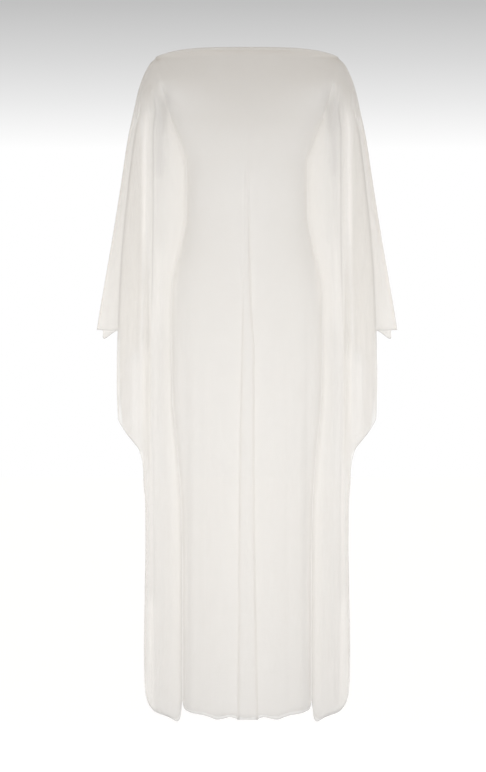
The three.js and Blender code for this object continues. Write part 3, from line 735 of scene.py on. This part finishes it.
def stitches(name, path, out, pitch):
    """Running stitches along a path: each is a small six-sided bead with pointed ends.

    The path is walked at equal distances. A stitch's ring at a share t along it stands out by a
    half sine, so it dips into the cloth at both ends.
    """
    walked = np.concatenate([[0], np.cumsum(np.linalg.norm(np.diff(path, axis=0), axis=1))])
    starts = np.arange(pitch / 2, walked[-1] - STITCH_LONG, pitch)
    t = np.linspace(0, 1, 5)
    place = starts[:, None] + t[None, :] * STITCH_LONG
    centre = np.stack([np.interp(place, walked, path[:, k]) for k in range(3)], axis=-1)
    away = unit(np.stack([np.interp(place, walked, out[:, k]) for k in range(3)], axis=-1))
    beside = unit(np.cross(unit(np.gradient(centre, axis=1)), away))
    thick = STITCH_THICK * np.sin(math.pi * np.clip(t, *STITCH_ENDS))[None, :, None, None]
    away, beside = away[:, :, None, :], beside[:, :, None, :]
    angle = np.linspace(0, 2 * math.pi, 6, endpoint=False)[None, None, :, None]
    ring = np.cos(angle) * beside + np.sin(angle) * away
    vertices = centre[:, :, None, :] + away * STITCH_RISE * thick + ring * thick
    total, rings, sides = vertices.shape[:3]
    first = (np.arange(total) * rings * sides)[:, None]
    k, i = np.meshgrid(np.arange(rings - 1), np.arange(sides), indexing="ij")
    here, there = k * sides + i, k * sides + (i + 1) % sides
    one = np.stack([here, there, there + sides, here + sides], axis=-1).reshape(1, -1, 4)
    walls = (one + first[:, :, None]).reshape(-1, 4)
    around = np.arange(sides)
    caps = [*(around[::-1] + first).tolist(), *(around + first + (rings - 1) * sides).tolist()]
    return closed_mesh(name, vertices.reshape(-1, 3), [*walls.tolist(), *caps])


# ---- materials --------------------------------------------------------------------------------
def add_node(tree, kind, inputs=None, **settings):
    """A new shader node with its settings and its inputs."""
    node = tree.nodes.new("ShaderNode" + kind)
    for name, value in settings.items():
        setattr(node, name, value)
    return wire(tree, node, inputs or {})


def wire(tree, node, inputs):
    """Gives a node's inputs, by name or place, a value or a link from a socket."""
    for key, value in inputs.items():
        if isinstance(value, bpy.types.NodeSocket):
            tree.links.new(value, node.inputs[key])
        else:
            node.inputs[key].default_value = value
    return node


def math_node(tree, operation, *values, clamp=False):
    return add_node(tree, "Math", dict(enumerate(values)), operation=operation,
                    use_clamp=clamp).outputs[0]


def vector_node(tree, operation, *values, output="Vector", **named_inputs):
    return add_node(tree, "VectorMath", {**dict(enumerate(values)), **named_inputs},
                    operation=operation).outputs[output]


def colour_mix(tree, share, first, second):
    """From the first colour to the second by a share."""
    return add_node(tree, "Mix", {"Factor": share, 6: first, 7: second},
                    data_type="RGBA").outputs[2]


def solid(colour, share=1.0):
    """A colour, or a share of it, as a colour socket holds it."""
    return (*[part * share for part in colour], 1)


def add_bump(tree, shader, height, strength):
    """Fine relief of threads, a fifth of a millimetre deep."""
    bump = add_node(tree, "Bump", {"Strength": strength, "Distance": 0.0002, "Height": height})
    wire(tree, shader, {"Normal": bump.outputs["Normal"]})


def new_group(name, inputs, output):
    """An empty node group. inputs: name, socket type and default of each. output: its name."""
    group = bpy.data.node_groups.new(name, "ShaderNodeTree")
    for label, kind, default in inputs:
        socket = group.interface.new_socket(label, in_out="INPUT", socket_type=kind)
        if default is not None:
            socket.default_value = default
    group.interface.new_socket(output, in_out="OUTPUT", socket_type="NodeSocketFloat")
    return (group, group.nodes.new("NodeGroupInput").outputs,
            group.nodes.new("NodeGroupOutput").inputs[output])


def net_group():
    """Fine hexagonal net: 1 on the threads between the cells, 0 in the middle of a cell.

    The plane is cut into two interleaved rows of boxes one cell wide and root three cells high.
    The nearer box centre is the cell's centre, and the distance from it is measured square to
    the cell's sides, so that a half is the thread between two cells.
    """
    group, given, result = new_group(
        "Fine net", [("Cloth", "NodeSocketVector", None), ("Cell", "NodeSocketFloat", 0.0015),
                     ("Thread", "NodeSocketFloat", 0.14)], "Threads")
    half = (0.5, math.sqrt(3) / 2, 1.0)
    corner = (0.5, math.sqrt(3) / 2, 0.0)
    cell = add_node(group, "CombineXYZ", {axis: given["Cell"] for axis in range(3)}).outputs[0]
    scaled = vector_node(group, "DIVIDE", given["Cloth"], cell)
    offsets = []
    for shift in ((0.0, 0.0, 0.0), corner):
        moved = vector_node(group, "SUBTRACT", scaled, shift)
        wrapped = vector_node(group, "WRAP", moved, half, [-part for part in half])
        flat = vector_node(group, "MULTIPLY", wrapped, (1.0, 1.0, 0.0))
        offsets.append(vector_node(group, "ABSOLUTE", flat))
    sizes = [vector_node(group, "LENGTH", offset, output="Value") for offset in offsets]
    nearer = add_node(group, "Mix", {"Factor": math_node(group, "LESS_THAN", *sizes),
                                     4: offsets[1], 5: offsets[0]}, data_type="VECTOR").outputs[1]
    slant = vector_node(group, "DOT_PRODUCT", nearer, corner, output="Value")
    level = add_node(group, "SeparateXYZ", {0: nearer}).outputs[0]
    from_thread = math_node(group, "SUBTRACT", 0.5, math_node(group, "MAXIMUM", slant, level))
    soft = math_node(group, "DIVIDE", from_thread, given["Thread"])
    group.links.new(math_node(group, "SUBTRACT", 1.0, soft, clamp=True), result)
    return group


def tone_group():
    """Slow unevenness of woven cloth: a value about one, from two noises of different size."""
    group, given, result = new_group(
        "Cloth tone", [("Place", "NodeSocketVector", None), ("Amount", "NodeSocketFloat", 0.06)],
        "Tone")
    values = []
    for scale, stretch in ((9.0, (1.0, 1.0, 0.25)), (60.0, (1.0, 1.0, 0.15))):
        place = vector_node(group, "MULTIPLY", given["Place"], stretch)
        noise = add_node(group, "TexNoise", {"Scale": scale, "Detail": 3.0, "Vector": place})
        values.append(math_node(group, "SUBTRACT", noise.outputs["Fac"], 0.5))
    both = math_node(group, "ADD", *values)
    group.links.new(math_node(group, "MULTIPLY_ADD", both, given["Amount"], 1.0), result)
    return group


GROUPS = {}


def group_node(tree, kind, inputs):
    """The one output of a shared node group, which is built the first time it is asked for."""
    if kind not in GROUPS:
        GROUPS[kind] = {"net": net_group, "tone": tone_group}[kind]()
    return add_node(tree, "Group", inputs, node_tree=GROUPS[kind]).outputs[0]


def principled(name, roughness, sheen):
    """A new material, its nodes and its shader, with the values that are the same all over."""
    material = bpy.data.materials.new(name)
    material.use_nodes = True
    tree = material.node_tree
    shader = wire(tree, tree.nodes["Principled BSDF"], {
        "Roughness": roughness, "Metallic": 0.0, "Sheen Weight": sheen, "Sheen Roughness": 0.5})
    return material, tree, shader


GLOW_SHADE_IN_FOLDS = 3       # how much faster the painted glow is shaded in a fold than the colour
MOST_PAINTED_HIGHLIGHT = 1.15       # a painted highlight scales the colour up by this at the most
MOST_DENSE = 0.85        # alpha where many layers lie together
CELL_COLOUR = 0.93       # the colour in a cell as a share of that of the threads
PLY_COLOUR = 0.9         # and between the plies of a thread
THREAD_GLOW = 0.12       # painted glow: emission for light that the hems and stitches pass on from behind


def tulle_material(name, colour, open_share, thread_share, through):
    """Sheer net: alpha is low in a cell and higher on its threads.

    open_share and thread_share: alpha in a cell and on a thread. through: a painted glow, emission
    that stands in for light the fine threads pass on from behind. The doubled attribute adds
    layers, and the crease one paints shade into the colour and the glow, or painted light where
    negative.
    """
    material, tree, shader = principled(name, 0.72, 0.25)
    uv = add_node(tree, "UVMap", uv_map="cloth").outputs["UV"]
    place = add_node(tree, "TexCoord").outputs["Object"]
    doubled, crease = (add_node(tree, "Attribute", attribute_name=label).outputs["Fac"]
                       for label in ("doubled", "crease"))
    cell = bpy.context.scene.kaftan_sizes.net_cell
    threads = group_node(tree, "net", {"Cloth": uv, "Cell": cell})
    tone = group_node(tree, "tone", {"Place": place, "Amount": 0.015})
    woven = math_node(tree, "MULTIPLY_ADD", threads, thread_share - open_share, open_share)
    layers = math_node(tree, "MULTIPLY_ADD", doubled, 1 - open_share, 1.0)
    dense = math_node(tree, "MULTIPLY", math_node(tree, "MULTIPLY", woven, tone), layers)
    # Painted shade and highlight: the crease attribute scales the colour down in folds and up on
    # ridges, and the painted glow faster still.
    bright = math_node(tree, "MINIMUM", math_node(tree, "SUBTRACT", 1.0, crease), MOST_PAINTED_HIGHLIGHT)
    tint = colour_mix(tree, threads, solid(colour, CELL_COLOUR), solid(colour))
    painted_glow_share = math_node(tree, "MULTIPLY_ADD", crease, -GLOW_SHADE_IN_FOLDS, 1.0)
    wire(tree, shader, {
        "Alpha": math_node(tree, "MINIMUM", dense, MOST_DENSE),
        "Base Color": vector_node(tree, "SCALE", tint, Scale=bright),
        "Emission Color": vector_node(tree, "SCALE", colour, Scale=painted_glow_share),
        "Emission Strength": through})
    add_bump(tree, shader, threads, 0.25)
    return material


def thread_material(name, colour, alpha):
    """Twisted thread of the stitches and rolled hems: fine slanting bands along it."""
    material, tree, shader = principled(name, 0.6, 0.15)
    place = add_node(tree, "TexCoord").outputs["Object"]
    plies = add_node(tree, "TexWave", {"Scale": 900.0, "Distortion": 1.5, "Vector": place},
                     bands_direction="DIAGONAL").outputs["Fac"]
    # The emission is a painted glow.
    wire(tree, shader, {
        "Base Color": colour_mix(tree, plies, solid(colour, PLY_COLOUR), solid(colour)),
        "Alpha": alpha, "Emission Color": solid(colour), "Emission Strength": THREAD_GLOW})
    add_bump(tree, shader, plies, 0.3)
    return material


MATERIALS = {}


def material_of(kind):
    """The named material, made the first time that a piece asks for it."""
    colours = bpy.context.scene.kaftan_colours
    if kind not in MATERIALS:
        if kind == "tulle":
            # The last value is the painted glow of the net.
            MATERIALS[kind] = tulle_material("ivory_tulle", colours.ivory, 0.25, 0.7, 0.2)
        else:
            MATERIALS[kind] = thread_material("ivory_thread", colours.thread, 0.35)
    return MATERIALS[kind]


def finish_piece(piece, kind, slot, *nodes):
    """Gives a piece its material and its body, and hides the solids that it stands for. slot is
    not used.
    """
    piece.data.materials.append(material_of(kind))
    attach(piece, BODY)
    if nodes:
        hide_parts(*nodes)
    return piece


# ---- add-on -----------------------------------------------------------------------------------
class KaftanSizes(bpy.types.PropertyGroup):
    """Sizes that a user may change."""
    thickness: FloatProperty(name="Cloth thickness", description="Wall of the tulle shells",
                             default=0.0005, unit="LENGTH")
    net_cell: FloatProperty(name="Net cell", description="Width of one cell of the net",
                            default=0.0013, unit="LENGTH")
    hem_radius: FloatProperty(name="Rolled hem", description="Radius of the rolled free edges",
                              default=0.0004, unit="LENGTH")
    stitch_pitch: FloatProperty(name="Stitch pitch", description="From one stitch to the next",
                                default=0.0035, unit="LENGTH")
    fold_scale: FloatProperty(name="Soft folds", description="Depth of the soft folds, as a share",
                              default=1.0, subtype="FACTOR")
    rows: IntProperty(name="Rows", description="Steps down each panel", default=260)


class KaftanColours(bpy.types.PropertyGroup):
    """Colours that a user may change."""
    ivory: FloatVectorProperty(name="Tulle", description="Colour of the net", subtype="COLOR",
                               default=(0.845, 0.828, 0.8))
    thread: FloatVectorProperty(name="Thread", description="Colour of hems and stitches",
                                subtype="COLOR", default=(0.845, 0.828, 0.8))
    floor: FloatVectorProperty(name="Floor", description="Colour of the studio floor",
                               subtype="COLOR", default=(0.2, 0.2, 0.2))


def edge_band(points, width, ends):
    """1 along edges of a sheet, easing to 0 over the given width in millimetres.

    ends: pairs of an axis, 0 across or 1 down, and the edge's index on it, 0 or -1.
    """
    near = np.zeros(points.shape[:2])
    for axis, end in ends:
        walked = arc(points, axis)
        distance = np.abs(walked - np.take(walked, [end], axis=axis))
        near = np.maximum(near, 1 - ease(width * 0.7, width, distance))
    return near


HEM_EDGE = ((1, -1),)
SEAM_EDGES = ((0, 0), (0, -1))


def area_of(points):
    """Area of a sheet in square metres, from the two triangles of each of its quads."""
    a, b, c, d = points[:-1, :-1], points[:-1, 1:], points[1:, 1:], points[1:, :-1]
    first = np.linalg.norm(np.cross(b - a, c - a), axis=-1).sum()
    second = np.linalg.norm(np.cross(c - a, d - a), axis=-1).sum()
    return (first + second) / 2 * MM**2


FORWARD = np.array([0.0, -1.0, 0.0])
SHEETS = {}
# Width and length of each panel's flat cut, in metres.
BODY_CUT = {"front": (0.49, 1.455), "back": (0.43, 1.455)}
WING_CUT = {"front": (0.335, 1.46), "back": (0.25, 1.455)}


def build_panel(name, node, points, crease, doubled, flat):
    """One panel of the garment with its rolled hem."""
    sizes = bpy.context.scene.kaftan_sizes
    # Painted shade along the free edge.
    crease = crease + HEM_PAINTED_SHADE * edge_band(points, HEM_BAND, HEM_EDGE)
    cloth = sheet_mesh(name, points, sizes.thickness, {"doubled": doubled, "crease": crease},
                       turned_net=name.startswith("back"))
    finish_piece(cloth, "tulle", "tulle", node)
    hem = edge_bead(name + "_rolled_hem", points, sizes.hem_radius / MM)
    finish_piece(hem, "thread", "seam")
    SHEETS[name] = {"flat": flat, "area": area_of(points), "with": [hem.name]}


def sew_on(panel, name, points, node, row, line, out, marks=None):
    """A strip of cloth and its row of stitches, both listed in SHEETS with the panel they are sewn
    to.
    """
    sizes = bpy.context.scene.kaftan_sizes
    strip = sheet_mesh(name, points, sizes.thickness, marks)
    finish_piece(strip, "tulle", "seam", node)
    sewn = stitches(row, line + out * STITCH_OUT, out, sizes.stitch_pitch / MM)
    finish_piece(sewn, "thread", "seam")
    SHEETS[panel]["with"] += [strip.name, sewn.name]


def roll_on(panel, roll):
    """A thin roll of thread, listed in SHEETS with its panel."""
    finish_piece(roll, "thread", "seam")
    SHEETS[panel]["with"].append(roll.name)


class KAFTAN_OT_body(bpy.types.Operator):
    """Builds the front and back body panels."""
    bl_idname = "kaftan.body"
    bl_label = "Body panels"

    def execute(self, context):
        sizes = context.scene.kaftan_sizes
        rows = shares(sizes.rows)
        for side in SIDES:
            points = body_surface(side, rows, sizes.fold_scale)
            doubled = SEAM_DOUBLED * edge_band(points, SEAM_BAND, SEAM_EDGES)
            crease = 0 * doubled
            if side == "front":
                # Painted shade beside the armpit, painted light along the waist and hip.
                crease = soft_folds(points[..., 0], points[..., 2], FRONT_BODY_SHADES, 1)
            build_panel(f"{side}_body_tulle", f"{side}_body", points, crease, doubled,
                        BODY_CUT[side])
        return {"FINISHED"}


class KAFTAN_OT_wings(bpy.types.Operator):
    """Builds the four wings that hang outside the side seams."""
    bl_idname = "kaftan.wings"
    bl_label = "Wings"

    def execute(self, context):
        sizes = context.scene.kaftan_sizes
        rows = shares(sizes.rows)
        for side in SIDES:
            points = wing_surface(side, rows, sizes.fold_scale)
            # Painted shade in the folds and painted highlights along the ridges.
            crease = painted_shade_and_highlight(points, side)
            if side == "back":
                points, crease = points[::-1], crease[::-1]
            x, z = points[..., 0], points[..., 2]
            doubled = SEAM_DOUBLED * edge_band(points, SEAM_BAND, SEAM_EDGES)
            if side == "front":
                hidden = edge_band(points, HIDDEN_BAND, HEM_EDGE)
                hidden *= ease(*HIDDEN_FOOT, z) * (1 - ease(*HIDDEN_TOP, z))
                doubled += HIDDEN_DOUBLED * hidden
                # Painted shade where the hem hides in the fold.
                crease += HIDDEN_PAINTED_SHADE * hidden
            else:
                tip = ease(*TIP_START, z)
                doubled += tip * ease(*TIP_REACH, x)
                # Painted shade on the doubled tip.
                crease += TIP_PAINTED_SHADE * tip
            mirror = (mirrored(points), crease[::-1], doubled[::-1])
            for hand, parts in (("right", (points, crease, doubled)), ("left", mirror)):
                build_panel(f"{side}_wing_tulle_{hand}", f"{side}_wing_{hand}", *parts,
                            WING_CUT[side])
        return {"FINISHED"}


class KAFTAN_OT_neck(bpy.types.Operator):
    """Builds the turned neck edge and its stitches."""
    bl_idname = "kaftan.neck"
    bl_label = "Neck hem"

    def execute(self, context):
        rows = np.linspace(0, NECK_HEM_DEEP / (NECK_RISE - PLEAT_HEM), 7)
        radius = context.scene.kaftan_sizes.hem_radius / MM
        for side in SIDES:
            panel, name = body_surface(side, rows, 0), f"{side}_body_tulle"
            out = normals(panel)
            sew_on(name, f"neck_turned_edge_{side}", panel - out * NECK_HEM_IN,
                   f"neck_hem_{side}", f"neck_stitches_{side}", panel[:, -2], out[:, -2])
            roll_on(name, edge_bead(f"neck_edge_roll_{side}", panel[:, ::-1], radius))
        return {"FINISHED"}


class KAFTAN_OT_seams(bpy.types.Operator):
    """Builds the felled side seams and arm seams with their stitches."""
    bl_idname = "kaftan.seams"
    bl_label = "Felled seams"

    def execute(self, context):
        seams = {"side_seam": (body["seam"], wing_seam, UNDERARM, SEAM_FOOT),
                 "arm_seam": (arm["reach"], arm["reach"], SEAM_TOP, SLEEVE_TIP)}
        for node, (line, edge, top, foot) in seams.items():
            z = np.linspace(top, foot, 220)
            outer = edge(z) + FELL_OVER[node]
            strip = np.array([np.stack([mix(line(z) - FELL_WIDE, outer, share), 0 * z, z], axis=-1)
                              for share in np.linspace(0, 1, 6)])
            strip[1:-1, :, 1] += FELL_WAVE * np.sin(z / 17.0)
            # Painted shade on the side seam fell, painted light on the arm seam fell.
            marks = {"crease": np.full(strip.shape[:2], FELL_PAINTED_SHADE_AND_LIGHT[node])}
            for hand, points in (("right", strip), ("left", mirrored(strip))):
                sew_on(f"front_wing_tulle_{hand}", f"{node}_fell_{hand}", points,
                       f"{node}_{hand}", f"{node}_stitches_{hand}", points[2],
                       np.tile(FORWARD, (len(z), 1)), marks)
        z = np.linspace(0, SLEEVE_TIP, 260)
        path = np.stack([arm["reach"](z), 0 * z, z], axis=-1)
        along = unit(np.gradient(path, axis=0))
        front = np.tile(FORWARD, (len(z), 1))
        for hand, turn in (("right", 1), ("left", -1)):
            side = np.array([turn, 1, 1])
            roll_on(f"front_wing_tulle_{hand}",
                    bead_mesh(f"arm_seam_roll_{hand}", path * side, front,
                              np.cross(along, front) * side, SEAM_ROLL))
        return {"FINISHED"}


class KAFTAN_OT_stage(bpy.types.Operator):
    """Sets a plain pale floor, soft studio light and the camera."""
    bl_idname = "kaftan.stage"
    bl_label = "Studio"

    def execute(self, context):
        scene = context.scene
        scene.view_settings.view_transform = "Standard"
        scene.cycles.transparent_max_bounces = 96
        build_floor(scene)
        build_world(scene)
        build_lights()
        build_camera(scene)
        return {"FINISHED"}


FLOOR_Z = -1.56
FLOOR_RADIUS = 40.0
FLOOR_RINGS = 8
FLOOR_SIDES = 64
FLOOR_SEEN = 0.985       # how bright the floor itself looks, besides the light that falls on it
FLOOR_LIGHT = (0.285, 0.305, 0.345)   # the light that it sends up at the cloth


def build_floor(scene):
    """A wide disc: rings of points round the centre, wider apart further out."""
    radius = np.linspace(0.2, 1, FLOOR_RINGS)[:, None] ** 2 * FLOOR_RADIUS
    angle = np.linspace(0, 2 * math.pi, FLOOR_SIDES, endpoint=False)[None, :]
    height = FLOOR_Z + 0 * radius * angle
    points = np.stack([radius * np.cos(angle), radius * np.sin(angle), height], axis=-1)
    ring = np.arange(FLOOR_RINGS - 1)[:, None] * FLOOR_SIDES
    here = ring + np.arange(FLOOR_SIDES)
    there = ring + (np.arange(FLOOR_SIDES) + 1) % FLOOR_SIDES
    faces = np.stack([here, there, there + FLOOR_SIDES, here + FLOOR_SIDES], axis=-1)
    mesh = bpy.data.meshes.new("studio_floor")
    mesh.from_pydata(points.reshape(-1, 3).tolist(), [],
                     [*faces.reshape(-1, 4).tolist(), list(range(FLOOR_SIDES))])
    floor = in_scene("studio_floor", mesh)
    material, tree, shader = principled("studio_floor", 0.9, 0.0)
    seen = add_node(tree, "LightPath").outputs["Is Camera Ray"]
    wire(tree, shader, {
        "Base Color": solid(scene.kaftan_colours.floor), "Emission Strength": 1.0,
        "Emission Color": colour_mix(tree, seen, solid(FLOOR_LIGHT), solid([FLOOR_SEEN] * 3))})
    mesh.materials.append(material)


# How bright the backdrop is by the tangent of the angle that a view looks up.
BACKDROP = ((0.0, 1.0), (0.0426, 1.0), (0.0513, 0.822), (0.0584, 0.695), (0.0684, 0.539),
            (0.0758, 0.5))
SKY_LIGHT = (0.125, 0.08, 0.028)


def build_world(scene):
    """A white studio backdrop that turns grey above the garment, and an even soft light."""
    world = bpy.data.worlds.new("studio")
    scene.world = world
    world.use_nodes = True
    tree = world.node_tree
    place = add_node(tree, "TexCoord").outputs["Generated"]
    height = add_node(tree, "SeparateXYZ", {0: place}).outputs[2]
    share = math_node(tree, "MULTIPLY", height, 1 / BACKDROP[-1][0], clamp=True)
    ramp = add_node(tree, "ValToRGB", {"Fac": share})
    stops = ramp.color_ramp.elements
    while len(stops) < len(BACKDROP):
        stops.new(0.5)
    for stop, (tangent, bright) in zip(stops, BACKDROP):
        stop.position = tangent / BACKDROP[-1][0]
        stop.color = solid([bright] * 3)
    seen = add_node(tree, "LightPath").outputs["Is Camera Ray"]
    light = colour_mix(tree, seen, solid(SKY_LIGHT), ramp.outputs["Color"])
    wire(tree, tree.nodes["Background"], {"Color": light})


def aim(thing, place, target):
    """Moves a light or camera to a place and turns it to look at a target."""
    thing.location = place
    thing.rotation_euler = (Vector(target) - Vector(place)).to_track_quat("-Z", "Y").to_euler()


# place, size in metres and power in watts of each softbox
SOFTBOXES = {
    "key": ((-0.5, -1.8, -0.84), 0.8, 5.45),
    "fill": ((0.55, -1.8, -0.84), 0.8, 5.25),
    "side_left": ((-1.75, 0.15, -0.7), 0.9, 3.6),
    "side_right": ((1.75, 0.15, -0.7), 0.9, 3.6),
    "back_left": ((-1.0, 1.6, -0.8), 0.9, 6),
    "back_right": ((1.0, 1.6, -0.8), 0.9, 6),
}
LIGHT_SPREAD = 130       # degrees, so that the light falls off towards the shoulders
LIGHT_TARGET = (0.0, 0.0, -0.84)


def build_lights():
    for name, (place, size, power) in SOFTBOXES.items():
        lamp = bpy.data.lights.new(name, "AREA")
        lamp.shape = "SQUARE"
        lamp.size = size
        lamp.energy = power
        lamp.spread = math.radians(LIGHT_SPREAD)
        softbox = in_scene(name, lamp)
        softbox.visible_camera = False
        aim(softbox, place, LIGHT_TARGET)


CAMERA_PLACE = (-0.0086, -12.0, -0.709)
VIEW_HEIGHT = 1.664      # height of the view at the garment's middle plane, in metres


def build_camera(scene):
    """A level camera far in front, so that the garment is seen almost without perspective."""
    camera = bpy.data.cameras.new("camera")
    camera.sensor_fit = "VERTICAL"
    camera.sensor_height = 36
    camera.lens = camera.sensor_height * -CAMERA_PLACE[1] / VIEW_HEIGHT
    view = in_scene("camera", camera)
    aim(view, CAMERA_PLACE, (CAMERA_PLACE[0], 0, CAMERA_PLACE[2]))
    scene.camera = view


STEPS = (KAFTAN_OT_body, KAFTAN_OT_wings, KAFTAN_OT_neck, KAFTAN_OT_seams, KAFTAN_OT_stage)


class KAFTAN_PT_panel(bpy.types.Panel):
    """Lists the steps and the values that a user may change."""
    bl_label = "Tulle kaftan"
    bl_idname = "KAFTAN_PT_panel"
    bl_space_type = "VIEW_3D"
    bl_region_type = "UI"
    bl_category = "Kaftan"

    def draw(self, context):
        for group in (context.scene.kaftan_sizes, context.scene.kaftan_colours):
            for name in group.__annotations__:
                self.layout.prop(group, name)
        for step in STEPS:
            self.layout.operator(step.bl_idname)


CLASSES = (KaftanSizes, KaftanColours, *STEPS, KAFTAN_PT_panel)


def register():
    for one in CLASSES:
        bpy.utils.register_class(one)
    bpy.types.Scene.kaftan_sizes = PointerProperty(type=KaftanSizes)
    bpy.types.Scene.kaftan_colours = PointerProperty(type=KaftanColours)


def unregister():
    del bpy.types.Scene.kaftan_colours
    del bpy.types.Scene.kaftan_sizes
    for one in reversed(CLASSES):
        bpy.utils.unregister_class(one)


def main():
    register()
    bpy.ops.kaftan.stage()
    bpy.ops.kaftan.body()
    bpy.ops.kaftan.wings()
    bpy.ops.kaftan.neck()
    bpy.ops.kaftan.seams()


if __name__ == "__main__":
    main()
